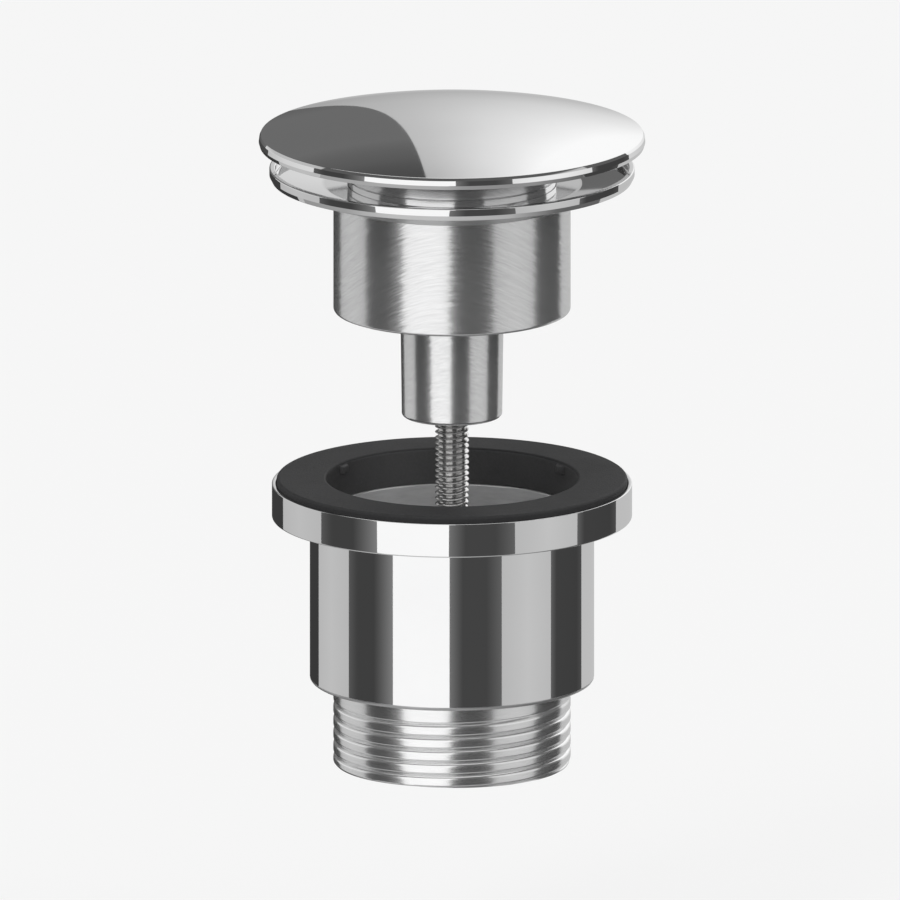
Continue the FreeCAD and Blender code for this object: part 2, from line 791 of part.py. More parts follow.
def build_pieces():
    """Build every piece from the tail up to the cap."""
    lower_body()
    rubber_gasket()
    flange_dish()
    sleeve_casting()
    clamp_screw()
    flat_ring("screw_washer", "screw_radius + screw_gap", "washer_radius", "washer_height",
              "stem_foot + stem_floor")
    flat_ring("collar_seal", "housing_radius + drum_gap", "stem_top_radius - gasket_gap",
              "seal_height", "stem_top")
    cartridge_housing()
    cartridge_liner()
    cam_ring()
    cartridge_base()
    retaining_clip()
    cartridge_spring()
    plunger()
    plug_hub()
    plug_seal()
    flat_ring("spring_washer", "screw_radius + screw_gap", "hub_boss_radius - gasket_gap",
              "spring_washer_height", "hub_boss_foot - spring_washer_height")
    hub_nut()
    cap_plate()
    dome_cap()


def check_and_export():
    """Stop on any failed object, then write each piece to its own file."""
    doc.recompute()
    for thing in doc.Objects:
        if "Invalid" in thing.State or "Error" in thing.State:
            raise RuntimeError("%s (%s) failed: %s" % (thing.Name, thing.Label, thing.State))
    for name, thing in pieces.items():
        shape = thing.Shape
        if shape.isNull() or not shape.isValid():
            raise RuntimeError("%s has no valid shape" % name)
    os.makedirs("parts", exist_ok=True)
    for name, thing in pieces.items():
        thing.Shape.exportStep("parts/%s.step" % name)
        box = thing.Shape.BoundBox
        print("%-18s solids %d  volume %9.2f  z %.2f to %.2f"
              % (name, len(thing.Shape.Solids), thing.Shape.Volume, box.ZMin, box.ZMax))


fill_sheet()
build_pieces()
check_and_export()
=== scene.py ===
import math

import bmesh
import bpy
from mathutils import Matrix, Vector


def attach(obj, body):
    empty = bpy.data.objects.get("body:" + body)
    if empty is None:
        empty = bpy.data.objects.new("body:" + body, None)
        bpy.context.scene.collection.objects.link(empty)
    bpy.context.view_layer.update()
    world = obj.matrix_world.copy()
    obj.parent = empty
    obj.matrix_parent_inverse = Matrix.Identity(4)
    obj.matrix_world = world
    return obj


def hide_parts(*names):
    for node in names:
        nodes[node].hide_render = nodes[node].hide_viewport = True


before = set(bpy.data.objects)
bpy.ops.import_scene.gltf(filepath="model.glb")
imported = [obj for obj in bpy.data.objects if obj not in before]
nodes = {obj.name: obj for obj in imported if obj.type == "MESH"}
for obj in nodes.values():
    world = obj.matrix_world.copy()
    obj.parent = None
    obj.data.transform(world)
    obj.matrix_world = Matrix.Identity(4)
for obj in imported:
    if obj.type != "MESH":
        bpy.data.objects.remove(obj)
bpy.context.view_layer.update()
mm = 0.001


# small helpers for node trees

def greyOf(screenTone):
    # a 0 to 255 screen tone as a linear value
    share = screenTone / 255
    return share / 12.92 if share <= 0.04045 else ((share + 0.055) / 1.055) ** 2.4


def feed(tree, socket, source):
    # a socket takes a link or a plain value
    if isinstance(source, bpy.types.NodeSocket):
        tree.links.new(source, socket)
    else:
        socket.default_value = source


def addNode(tree, kind, inputs=None, **settings):
    node = tree.nodes.new(kind)
    for name, setting in settings.items():
        setattr(node, name, setting)
    for key, source in (inputs or {}).items():
        feed(tree, node.inputs[key], source)
    return node


def mathNode(tree, operation, first, second, clamp=False):
    node = addNode(tree, "ShaderNodeMath", {0: first, 1: second}, operation=operation, use_clamp=clamp)
    return node.outputs[0]


def vectorNode(tree, operation, first, second=(0.0, 0.0, 0.0)):
    return addNode(tree, "ShaderNodeVectorMath", {0: first, 1: second}, operation=operation).outputs[0]


def scaleVector(tree, vector, scale):
    return addNode(tree, "ShaderNodeVectorMath", {0: vector, "Scale": scale}, operation="SCALE").outputs[0]


def joinAxes(tree, inputs):
    return addNode(tree, "ShaderNodeCombineXYZ", inputs).outputs[0]


def splitAxes(tree, vector):
    return addNode(tree, "ShaderNodeSeparateXYZ", {0: vector}).outputs


def noiseNode(tree, vector, scale, detail, roughness):
    inputs = {"Vector": vector, "Scale": scale, "Detail": detail, "Roughness": roughness}
    return addNode(tree, "ShaderNodeTexNoise", inputs).outputs["Fac"]


def rangeNode(tree, value, low, high, newLow, newHigh):
    inputs = {"Value": value, "From Min": low, "From Max": high, "To Min": newLow, "To Max": newHigh}
    return addNode(tree, "ShaderNodeMapRange", inputs).outputs[0]


def mixColours(tree, share, first, second):
    # 6, 7 and output 2 are the colour sockets of a Mix node
    node = addNode(tree, "ShaderNodeMix", data_type="RGBA")
    for index, source in ((0, share), (6, first), (7, second)):
        feed(tree, node.inputs[index], source)
    return node.outputs[2]


def newGroup(name, inputs, outputs):
    group = bpy.data.node_groups.new(name, "ShaderNodeTree")
    for label, start in inputs.items():
        socket = group.interface.new_socket(label, in_out="INPUT", socket_type="NodeSocketFloat")
        socket.default_value = start
    for label, kind in outputs.items():
        group.interface.new_socket(label, in_out="OUTPUT", socket_type=kind)
    begin = group.nodes.new("NodeGroupInput")
    end = group.nodes.new("NodeGroupOutput")
    return group, begin.outputs, end.inputs


def useGroup(tree, group, **values):
    node = tree.nodes.new("ShaderNodeGroup")
    node.node_tree = group
    for name, setting in values.items():
        node.inputs[name].default_value = setting
    return node.outputs


# shared effects

def makeTurnedMarks():
    # fine marks round the axis, as a lathe and a brush leave them
    grain = {
        "round": 7.0,  # how fast a mark changes along its way round
        "start": (0.47, 0.53, 0.0),  # keeps the four sides off the noise's own grid
        "fineScale": 1.0, "fineDetail": 4.0, "fineRoughness": 0.62, "fineShare": 0.6,
        "broadScale": 0.45, "broadDetail": 3.0, "broadRoughness": 0.55, "broadShare": 0.4,
        "broadPlace": (31.0, 17.0, 5.0),
        "low": 0.3, "high": 0.7,
    }
    group, begin, end = newGroup(
        "turnedMarks", {"Lines": 3000.0, "Sideways": 0.1, "Upright": 0.1, "Slant": 0.0},
        {"Normal": "NodeSocketVector", "Marks": "NodeSocketFloat"})
    place = splitAxes(group, addNode(group, "ShaderNodeTexCoord").outputs["Object"])
    outward = vectorNode(group, "NORMALIZE", joinAxes(group, {0: place[0], 1: place[1]}))
    arms = splitAxes(group, outward)
    # the marks bow upwards towards the front and the back
    bow = mathNode(group, "MULTIPLY", arms[0], place[0])
    height = mathNode(group, "ADD", place[2], mathNode(group, "MULTIPLY", bow, begin["Slant"]))
    wrapped = joinAxes(group, {0: mathNode(group, "MULTIPLY", arms[0], grain["round"]),
                               1: mathNode(group, "MULTIPLY", arms[1], grain["round"]),
                               2: mathNode(group, "MULTIPLY", height, begin["Lines"])})
    wrapped = vectorNode(group, "ADD", wrapped, grain["start"])
    fine = noiseNode(group, wrapped, grain["fineScale"], grain["fineDetail"], grain["fineRoughness"])
    shifted = vectorNode(group, "ADD", wrapped, grain["broadPlace"])
    broad = noiseNode(group, shifted, grain["broadScale"], grain["broadDetail"], grain["broadRoughness"])
    # the normal leans along the way round and up or down
    along = vectorNode(group, "NORMALIZE", vectorNode(group, "CROSS_PRODUCT", (0.0, 0.0, 1.0), outward))
    aside = mathNode(group, "MULTIPLY", mathNode(group, "SUBTRACT", fine, 0.5), begin["Sideways"])
    up = mathNode(group, "MULTIPLY", mathNode(group, "SUBTRACT", broad, 0.5), begin["Upright"])
    normal = addNode(group, "ShaderNodeNewGeometry").outputs["Normal"]
    leaned = vectorNode(group, "ADD", normal, scaleVector(group, along, aside))
    leaned = vectorNode(group, "ADD", leaned, joinAxes(group, {2: up}))
    group.links.new(vectorNode(group, "NORMALIZE", leaned), end["Normal"])
    marks = mathNode(group, "ADD", mathNode(group, "MULTIPLY", fine, grain["fineShare"]),
                     mathNode(group, "MULTIPLY", broad, grain["broadShare"]))
    group.links.new(rangeNode(group, marks, grain["low"], grain["high"], 0.0, 1.0), end["Marks"])
    return group


def makeHandling():
    # faint smears and specks that change a finish from place to place
    touch = {
        "smearDetail": 4.0, "smearRoughness": 0.6, "smearLow": 0.3, "smearHigh": 0.7,
        "speckDetail": 2.0, "speckRoughness": 0.7, "speckLow": 0.35, "speckHigh": 0.75,
    }
    group, begin, end = newGroup("handling", {"Smears": 40.0, "Specks": 900.0},
                                 {"Smear": "NodeSocketFloat", "Speck": "NodeSocketFloat"})
    place = addNode(group, "ShaderNodeTexCoord").outputs["Object"]
    for size, mask, name in (("Smears", "Smear", "smear"), ("Specks", "Speck", "speck")):
        noise = noiseNode(group, scaleVector(group, place, begin[size]), 1.0,
                          touch[name + "Detail"], touch[name + "Roughness"])
        group.links.new(rangeNode(group, noise, touch[name + "Low"], touch[name + "High"], 0.0, 1.0), end[mask])
    return group


turnedMarks = makeTurnedMarks()
handling = makeHandling()
print("shared effects ready")


# finishes

def newFinish(name):
    material = bpy.data.materials.new(name)
    material.use_nodes = True
    tree = material.node_tree
    return material, tree, tree.nodes["Principled BSDF"]


def spreadFinish(tree, shader, look, colourMask, roughMask):
    # colour from dark to light, and roughness from gloss to matt, as the masks say
    tree.links.new(mixColours(tree, colourMask, look["dark"], look["light"]), shader.inputs["Base Color"])
    tree.links.new(rangeNode(tree, roughMask, 0.0, 1.0, look["gloss"], look["matt"]), shader.inputs["Roughness"])


def roughen(tree, shader, look, height):
    bump = addNode(tree, "ShaderNodeBump", {"Strength": look["grain"], "Distance": look["depth"], "Height": height})
    tree.links.new(bump.outputs[0], shader.inputs["Normal"])


def makePolishedChrome(name, look):
    material, tree, shader = newFinish(name)
    shader.inputs["Metallic"].default_value = 1.0
    touch = useGroup(tree, handling, Smears=look["smears"])
    spreadFinish(tree, shader, look, touch["Smear"], touch["Smear"])
    return material


def makeBrushedChrome(name, look):
    material, tree, shader = newFinish(name)
    shader.inputs["Metallic"].default_value = look["metal"]
    marks = useGroup(tree, turnedMarks, Lines=look["lines"], Sideways=look["sideways"],
                     Upright=look["upright"], Slant=look["slant"])
    touch = useGroup(tree, handling, Smears=look["smears"])
    spreadFinish(tree, shader, look, marks["Marks"], touch["Smear"])
    tree.links.new(marks["Normal"], shader.inputs["Normal"])
    return material


def makeRubber(name, look):
    material, tree, shader = newFinish(name)
    touch = useGroup(tree, handling, Smears=look["smears"], Specks=look["specks"])
    smearShare, speckShare = look["shares"]
    blend = mathNode(tree, "ADD", mathNode(tree, "MULTIPLY", touch["Smear"], smearShare),
                     mathNode(tree, "MULTIPLY", touch["Speck"], speckShare))
    spreadFinish(tree, shader, look, blend, touch["Smear"])
    shader.inputs["Specular IOR Level"].default_value = look["shine"]
    roughen(tree, shader, look, touch["Speck"])
    return material


def makePlastic(name, look):
    material, tree, shader = newFinish(name)
    touch = useGroup(tree, handling, Smears=look["smears"], Specks=look["specks"])
    spreadFinish(tree, shader, look, touch["Smear"], touch["Speck"])
    roughen(tree, shader, look, touch["Speck"])
    return material


polishedChrome = makePolishedChrome("polishedChrome", {
    "smears": 55.0, "dark": (0.912, 0.912, 0.914, 1), "light": (0.89, 0.891, 0.893, 1), "gloss": 0.015, "matt": 0.04})
# a darker copy of the polished chrome: painted shade on the dish floor under the dome
shadedDishChrome = makePolishedChrome("shadedDishChrome", {
    "smears": 55.0, "dark": (0.8, 0.801, 0.803, 1), "light": (0.76, 0.761, 0.763, 1), "gloss": 0.02, "matt": 0.06})
brushedChrome = makeBrushedChrome("brushedChrome", {
    "metal": 0.9, "lines": 4900.0, "sideways": 0.13, "upright": 0.05, "slant": 0.6, "smears": 70.0,
    "dark": (0.79, 0.791, 0.793, 1), "light": (0.95, 0.951, 0.953, 1), "gloss": 0.17, "matt": 0.21})
turnedChrome = makeBrushedChrome("turnedChrome", {
    "metal": 0.97, "lines": 4900.0, "sideways": 0.06, "upright": 0.03, "slant": 0.3, "smears": 70.0,
    "dark": (0.9, 0.901, 0.902, 1), "light": (0.98, 0.98, 0.981, 1), "gloss": 0.1, "matt": 0.14})
threadChrome = makeBrushedChrome("threadChrome", {
    "metal": 0.94, "lines": 3600.0, "sideways": 0.05, "upright": 0.02, "slant": 0.0, "smears": 70.0,
    "dark": (0.92, 0.921, 0.922, 1), "light": (0.98, 0.98, 0.981, 1), "gloss": 0.17, "matt": 0.2})
castChrome = makeBrushedChrome("castChrome", {
    "metal": 0.62, "lines": 1500.0, "sideways": 0.03, "upright": 0.05, "slant": 0.0, "smears": 70.0,
    "dark": (0.71, 0.711, 0.714, 1), "light": (0.88, 0.881, 0.883, 1), "gloss": 0.1, "matt": 0.2})
# satin chrome with a darker colour: painted shade on the body's foot edge and on the dish's downward cone
shadedSatinChrome = makeBrushedChrome("shadedSatinChrome", {
    "metal": 1.0, "lines": 2600.0, "sideways": 0.06, "upright": 0.06, "slant": 0.0, "smears": 70.0,
    "dark": (0.6, 0.601, 0.604, 1), "light": (0.7, 0.701, 0.704, 1), "gloss": 0.34, "matt": 0.42})
stainlessSteel = makeBrushedChrome("stainlessSteel", {
    "metal": 1.0, "lines": 6500.0, "sideways": 0.12, "upright": 0.3, "slant": 0.0, "smears": 70.0,
    "dark": (0.62, 0.615, 0.61, 1), "light": (0.86, 0.856, 0.85, 1), "gloss": 0.1, "matt": 0.2})
plungerBrass = makeBrushedChrome("plungerBrass", {
    "metal": 1.0, "lines": 4200.0, "sideways": 0.08, "upright": 0.1, "slant": 0.0, "smears": 70.0,
    "dark": (0.6, 0.43, 0.19, 1), "light": (0.86, 0.66, 0.36, 1), "gloss": 0.16, "matt": 0.28})
gasketRubber = makeRubber("gasketRubber", {
    "smears": 45.0, "specks": 2600.0, "dark": (0.031, 0.031, 0.032, 1), "light": (0.045, 0.045, 0.046, 1),
    "shares": (0.65, 0.35), "gloss": 0.5, "matt": 0.66, "shine": 0.12, "grain": 0.35, "depth": 0.00006})
# a lighter copy of the gasket rubber: painted light for the shaded wall of the hole
paintedLightRubber = makeRubber("paintedLightRubber", {
    "smears": 45.0, "specks": 2600.0, "dark": (0.062, 0.062, 0.063, 1), "light": (0.086, 0.086, 0.087, 1),
    "shares": (0.65, 0.35), "gloss": 0.5, "matt": 0.66, "shine": 0.12, "grain": 0.35, "depth": 0.00006})
sealRubber = makeRubber("sealRubber", {
    "smears": 80.0, "specks": 3600.0, "dark": (0.014, 0.014, 0.015, 1), "light": (0.03, 0.03, 0.032, 1),
    "shares": (0.65, 0.35), "gloss": 0.34, "matt": 0.5, "shine": 0.5, "grain": 0.2, "depth": 0.00006})
cartridgePlastic = makePlastic("cartridgePlastic", {
    "smears": 110.0, "specks": 1800.0, "dark": (0.66, 0.66, 0.63, 1), "light": (0.76, 0.76, 0.73, 1),
    "gloss": 0.34, "matt": 0.5, "grain": 0.25, "depth": 0.00004})
camPlastic = makePlastic("camPlastic", {
    "smears": 130.0, "specks": 1800.0, "dark": (0.05, 0.12, 0.31, 1), "light": (0.075, 0.16, 0.38, 1),
    "gloss": 0.3, "matt": 0.45, "grain": 0.25, "depth": 0.00004})
print("finishes ready")


# mesh helpers

def ringPoint(across, angle, up):
    # a point in metres from a radius and a height in millimetres
    return (across * math.cos(angle) * mm, across * math.sin(angle) * mm, up * mm)


def roundCorner(before, corner, after, radius, steps=4):
    # points of a small arc that takes off a profile's corner
    first = (Vector(before) - Vector(corner)).normalized()
    second = (Vector(after) - Vector(corner)).normalized()
    half = math.acos(max(-1.0, min(1.0, first.dot(second)))) / 2
    nearlyStraight = math.radians(88)
    if radius <= 0 or half > nearlyStraight:
        return [tuple(corner)]
    reach = radius / math.tan(half)
    centre = Vector(corner) + (first + second).normalized() * (radius / math.sin(half))
    start = Vector(corner) + first * reach - centre
    stop = Vector(corner) + second * reach - centre
    turn = start.angle_signed(stop)
    points = []
    for step in range(steps + 1):
        angle = -turn * step / steps
        spun = Vector((start.x * math.cos(angle) - start.y * math.sin(angle),
                       start.x * math.sin(angle) + start.y * math.cos(angle)))
        points.append(tuple(centre + spun))
    return points


def roundProfile(corners):
    # corners are (radius, height, rounding) in millimetres
    points = []
    for index, (across, up, rounding) in enumerate(corners):
        before = corners[index - 1][:2]
        after = corners[(index + 1) % len(corners)][:2]
        points += roundCorner(before, (across, up), after, rounding)
    return points


def addObject(name, vertices, faces):
    mesh = bpy.data.meshes.new(name)
    mesh.from_pydata(vertices, [], faces)
    thing = bpy.data.objects.new(name, mesh)
    bpy.context.scene.collection.objects.link(thing)
    return thing


def finishMesh(thing, sharpAngle=35.0):
    weld = 1e-7
    work = bmesh.new()
    work.from_mesh(thing.data)
    bmesh.ops.remove_doubles(work, verts=work.verts, dist=weld)
    bmesh.ops.dissolve_degenerate(work, edges=work.edges, dist=weld / 10)
    bmesh.ops.recalc_face_normals(work, faces=work.faces)
    work.to_mesh(thing.data)
    work.free()
    for face in thing.data.polygons:
        face.use_smooth = True
    thing.data.set_sharp_from_angle(angle=math.radians(sharpAngle))


def paintFaces(thing, materials, choose):
    # choose gives a material's place in the list from a face's radius, height and normal
    for material in materials:
        thing.data.materials.append(material)
    for face in thing.data.polygons:
        middle = face.center / mm
        face.material_index = choose(math.hypot(middle.x, middle.y), middle.z, face.normal)


def evenShading(thing):
    # long walls keep their own normals, so only the small roundings bend the reflections
    step = thing.modifiers.new("evenShading", "WEIGHTED_NORMAL")
    step.keep_sharp = True


def makeTurned(name, profile, segments, shape=None):
    # revolve a closed outline of (radius, height) points in millimetres; shape may change a radius
    vertices = []
    faces = []
    rings = len(profile)
    for segment in range(segments):
        angle = 2 * math.pi * segment / segments
        for across, up in profile:
            if shape:
                across = shape(angle, across, up)
            vertices.append(ringPoint(across, angle, up))
    for segment in range(segments):
        here = segment * rings
        there = (segment + 1) % segments * rings
        for ring in range(rings):
            other = (ring + 1) % rings
            # nothing lies between two points on the axis
            if profile[ring][0] or profile[other][0]:
                faces.append((here + ring, there + ring, there + other, here + other))
    return addObject(name, vertices, faces)


def makeThreaded(name, thread, outline, segments):
    # a turned solid whose outer wall, from its lowest ring to the thread's top, winds as a thread
    pitch, rows, low, high = (thread[key] for key in ("pitch", "rows", "low", "high"))
    turns = int(math.ceil((high - low) / pitch)) + 2
    angles = [2 * math.pi * segment / segments for segment in range(segments)]
    vertices = []
    faces = []
    columns = []
    ends = {low: [], high: []}
    for segment, angle in enumerate(angles):
        # one point for each row, and a single one where the rows pass an end
        column = []
        found = {}
        for row in range(-rows, turns * rows + 1):
            up = min(max(thread["start"] + pitch * (row / rows + segment / segments), low), high)
            if up not in found:
                vertices.append(ringPoint(thread["wall"](up, angle), angle, up))
                index = len(vertices) - 1
                if up in ends:
                    found[up] = index
                    ends[up].append(index)
            else:
                index = found[up]
            column.append(index)
        columns.append(column)

    def addFace(*corners):
        kept = list(dict.fromkeys(corners))
        if len(kept) > 2:
            faces.append(kept)

    for segment in range(segments):
        column = columns[segment]
        following = columns[(segment + 1) % segments]
        # the last column meets the first one a pitch higher
        shift = rows if segment == segments - 1 else 0
        top = len(following) - 1
        for row in range(len(column) - 1):
            first = following[min(row + shift, top)]
            second = following[min(row + 1 + shift, top)]
            addFace(column[row], first, second, column[row + 1])
    rings = [ends[high]]
    for across, up in outline:
        ring = []
        for angle in angles:
            # one point where the outline meets the axis
            if across > 0 or not ring:
                vertices.append(ringPoint(across, angle, up))
            ring.append(len(vertices) - 1)
        rings.append(ring)
    rings.append(ends[low])
    for ring, other in zip(rings, rings[1:]):
        for segment in range(segments):
            following = (segment + 1) % segments
            addFace(ring[segment], ring[following], other[following], other[segment])
    return addObject(name, vertices, faces)


def makePrism(name, outline, low, high, axis="Z"):
    # extrude an outline of (first, second) millimetres along an axis
    vertices = []
    for level in (low, high):
        for first, second in outline:
            place = {"Z": (first, second, level), "X": (level, first, second)}[axis]
            vertices.append(tuple(part * mm for part in place))
    count = len(outline)
    faces = [list(range(count))[::-1], list(range(count, 2 * count))]
    for index in range(count):
        following = (index + 1) % count
        faces.append((index, following, count + following, count + index))
    thing = addObject(name, vertices, faces)
    finishMesh(thing)
    return thing


def joinSolids(target, others, operation):
    for other in others:
        step = target.modifiers.new("join", "BOOLEAN")
        step.operation = operation
        step.solver = "EXACT"
        step.object = other
    evaluated = target.evaluated_get(bpy.context.evaluated_depsgraph_get())
    mesh = bpy.data.meshes.new_from_object(evaluated)
    target.modifiers.clear()
    target.data = mesh
    for other in others:
        bpy.data.objects.remove(other)


# lower casting with its thread

def makeLowerCasting():
    sizes = {
        "crest": 20.955, "depth": 0.85, "lowerFlank": 8.0, "upperFlank": 4.4, "pitch": 2.309,
        "grooveAtFront": 2.45, "turnsBelow": 2.75, "runOut": 12.6, "fade": 1.6, "chamfer": 0.45,
        "chamferSlope": 0.8, "segments": 240, "rows": 20,
        "bore": 17.4, "boreRound": 0.4, "bodyRadius": 25.1, "bodyBore": 21.8, "bodyFoot": 15.0, "bodyRound": 0.72,
        "cupFoot": 44.5, "cupTop": 50.6, "cupRadius": 31.8, "cupInside": 31.1, "cupSeat": 46.5, "cupRound": 0.3,
        "edge": 0.12, "rebate": 23.5, "rebateFoot": 45.2, "rebateRound": 0.25,
        "neckTop": 18.5, "neckFoot": 15.5, "neckRound": 0.8,
    }

    def wall(up, angle):
        # round crests between sharp grooves, counted from the front and fading out below the body
        turn = angle / (2 * math.pi) + 0.25
        phase = (up - sizes["grooveAtFront"]) / sizes["pitch"] - turn
        across = 2 * (phase - math.floor(phase)) - 1
        fading = min(max((sizes["runOut"] - up) / sizes["fade"], 0.0), 1.0)
        chamfer = max(0.0, sizes["chamfer"] - up) * sizes["chamferSlope"]
        groove = abs(across) ** (sizes["lowerFlank"] if across < 0 else sizes["upperFlank"])
        return sizes["crest"] - sizes["depth"] * groove * fading * fading * (3 - 2 * fading) - chamfer

    thread = {"pitch": sizes["pitch"], "rows": sizes["rows"], "low": 0.0, "high": sizes["runOut"], "wall": wall,
              "start": sizes["grooveAtFront"] - sizes["turnsBelow"] * sizes["pitch"]}
    outline = roundProfile([
        (sizes["crest"], sizes["runOut"], 0),
        (sizes["crest"], sizes["bodyFoot"], 0),
        (sizes["bodyRadius"], sizes["bodyFoot"], sizes["bodyRound"]),
        (sizes["bodyRadius"], sizes["cupFoot"], sizes["edge"]),
        (sizes["cupRadius"], sizes["cupFoot"], sizes["cupRound"]),
        (sizes["cupRadius"], sizes["cupTop"], sizes["edge"]),
        (sizes["cupInside"], sizes["cupTop"], sizes["edge"]),
        (sizes["cupInside"], sizes["cupSeat"], 0),
        (sizes["rebate"], sizes["cupSeat"], 0),
        (sizes["rebate"], sizes["rebateFoot"], 0),
        (sizes["bodyBore"], sizes["rebateFoot"], sizes["rebateRound"]),
        (sizes["bodyBore"], sizes["neckTop"], sizes["neckRound"]),
        (sizes["bore"], sizes["neckFoot"], sizes["neckRound"]),
        (sizes["bore"], 0.0, sizes["boreRound"]),
    ])[1:]
    casting = makeThreaded("lower_casting", thread, outline, sizes["segments"])
    finishMesh(casting)
    return casting


def addCrossbar(casting):
    bar = {"width": 8.0, "foot": 5.0, "height": 9.0, "reach": 18.8, "chamfer": 0.5, "crownSteps": 12,
           "bossRadius": 7.0, "bossFoot": 4.0, "bossTop": 16.0, "bossRound": 1.0, "bossSegments": 96,
           "hole": 3.05, "holeChamfer": 0.5, "holeSegments": 64, "overlap": 0.02, "pastTop": 4.0}
    half = bar["width"] / 2
    foot = bar["foot"]
    crown = foot + bar["height"] - half
    outline = [(half, foot + bar["chamfer"]), (half, crown)]
    for step in range(1, bar["crownSteps"]):
        angle = math.pi * step / bar["crownSteps"]
        outline.append((half * math.cos(angle), crown + half * math.sin(angle)))
    outline += [(-half, crown), (-half, foot + bar["chamfer"]), (-half + bar["chamfer"], foot),
                (half - bar["chamfer"], foot)]
    beam = makePrism("crossbar", outline, -bar["reach"], bar["reach"], "X")
    boss = makeTurned("boss", roundProfile([
        (0.0, bar["bossFoot"], 0), (bar["bossRadius"], bar["bossFoot"], bar["bossRound"]),
        (bar["bossRadius"], bar["bossTop"], bar["bossRound"]), (0.0, bar["bossTop"], 0)]), bar["bossSegments"])
    finishMesh(boss)
    wide = bar["hole"] + bar["holeChamfer"]
    past = bar["bossTop"] + bar["pastTop"]
    hole = makeTurned("hole", [(0.0, 0.0), (bar["hole"], 0.0), (bar["hole"], bar["bossTop"] - bar["holeChamfer"]),
                               (wide, bar["bossTop"] + bar["overlap"]), (wide, past), (0.0, past)],
                      bar["holeSegments"])
    finishMesh(hole)
    joinSolids(casting, [beam, boss], "UNION")
    joinSolids(casting, [hole], "DIFFERENCE")
    finishMesh(casting)


def castingFinish(across, up, normal):
    # cast inside, threaded tail, a darker satin edge under the body as painted shade, polished outside
    zones = {"inside": 24.0, "tailInside": 20.0, "bodyFoot": 15.0, "insideFoot": 15.05, "rimTop": 15.6}
    if across < zones["inside"] and (across < zones["tailInside"] or up > zones["insideFoot"]):
        return 2
    if up < zones["bodyFoot"]:
        return 1
    return 3 if up < zones["rimTop"] else 0


lowerCasting = makeLowerCasting()
addCrossbar(lowerCasting)
paintFaces(lowerCasting, (polishedChrome, threadChrome, castChrome, shadedSatinChrome), castingFinish)
evenShading(lowerCasting)
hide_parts("lower_body")
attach(lowerCasting, "lower_half")
print("lower casting ready")


# clamping screw

def makeScrew():
    sizes = {"crest": 3.0, "root": 2.4, "pitch": 1.0, "crestShare": 0.16, "flankShare": 0.66,
             "tip": 6.9, "tipRadius": 1.9, "lead": 0.6, "leadSlope": 0.9,
             "seat": 66.9, "shoulder": 1.2, "fade": 0.8, "neck": 0.6, "edge": 0.2,
             "headRadius": 5.0, "headTop": 70.8, "headRound": 0.6,
             "socketAcross": 5.0, "socketDepth": 2.6, "pastTop": 1.0, "segments": 48, "rows": 8, "sharpAngle": 30.0}

    def wall(up, angle):
        # straight flanks with a flat crest and a narrow root
        phase = (up - sizes["tip"]) / sizes["pitch"] - angle / (2 * math.pi)
        across = abs(2 * (phase - math.floor(phase)) - 1)
        share = min(max((across - sizes["crestShare"]) / sizes["flankShare"], 0.0), 1.0)
        depth = (sizes["crest"] - sizes["root"]) * share
        fading = min(max((sizes["seat"] - sizes["shoulder"] - up) / sizes["fade"], 0.0), 1.0)
        lead = max(0.0, sizes["tip"] + sizes["lead"] - up)
        return max(sizes["crest"] - depth * fading - lead * sizes["leadSlope"], sizes["tipRadius"])

    high = sizes["seat"] - sizes["neck"]
    thread = {"pitch": sizes["pitch"], "rows": sizes["rows"], "low": sizes["tip"], "high": high, "wall": wall,
              "start": sizes["tip"]}
    outline = roundProfile([
        (sizes["crest"], high, 0), (sizes["crest"], sizes["seat"], sizes["edge"]),
        (sizes["headRadius"], sizes["seat"], sizes["edge"]),
        (sizes["headRadius"], sizes["headTop"], sizes["headRound"]),
        (0.0, sizes["headTop"], 0), (0.0, sizes["tip"], 0)])[1:]
    screw = makeThreaded("threaded_screw", thread, outline, sizes["segments"])
    finishMesh(screw)
    corner = sizes["socketAcross"] / 2 / math.cos(math.radians(30))
    hexagon = [(corner * math.cos(math.radians(60 * step)), corner * math.sin(math.radians(60 * step)))
               for step in range(6)]
    socket = makePrism("socket", hexagon, sizes["headTop"] - sizes["socketDepth"], sizes["headTop"] + sizes["pastTop"])
    joinSolids(screw, [socket], "DIFFERENCE")
    finishMesh(screw, sizes["sharpAngle"])
    return screw


threadedScrew = makeScrew()
threadedScrew.data.materials.append(stainlessSteel)
evenShading(threadedScrew)
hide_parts("clamp_screw")
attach(threadedScrew, "clamp_screw")
print("screw ready")


# polished dish, dome and the hub between them

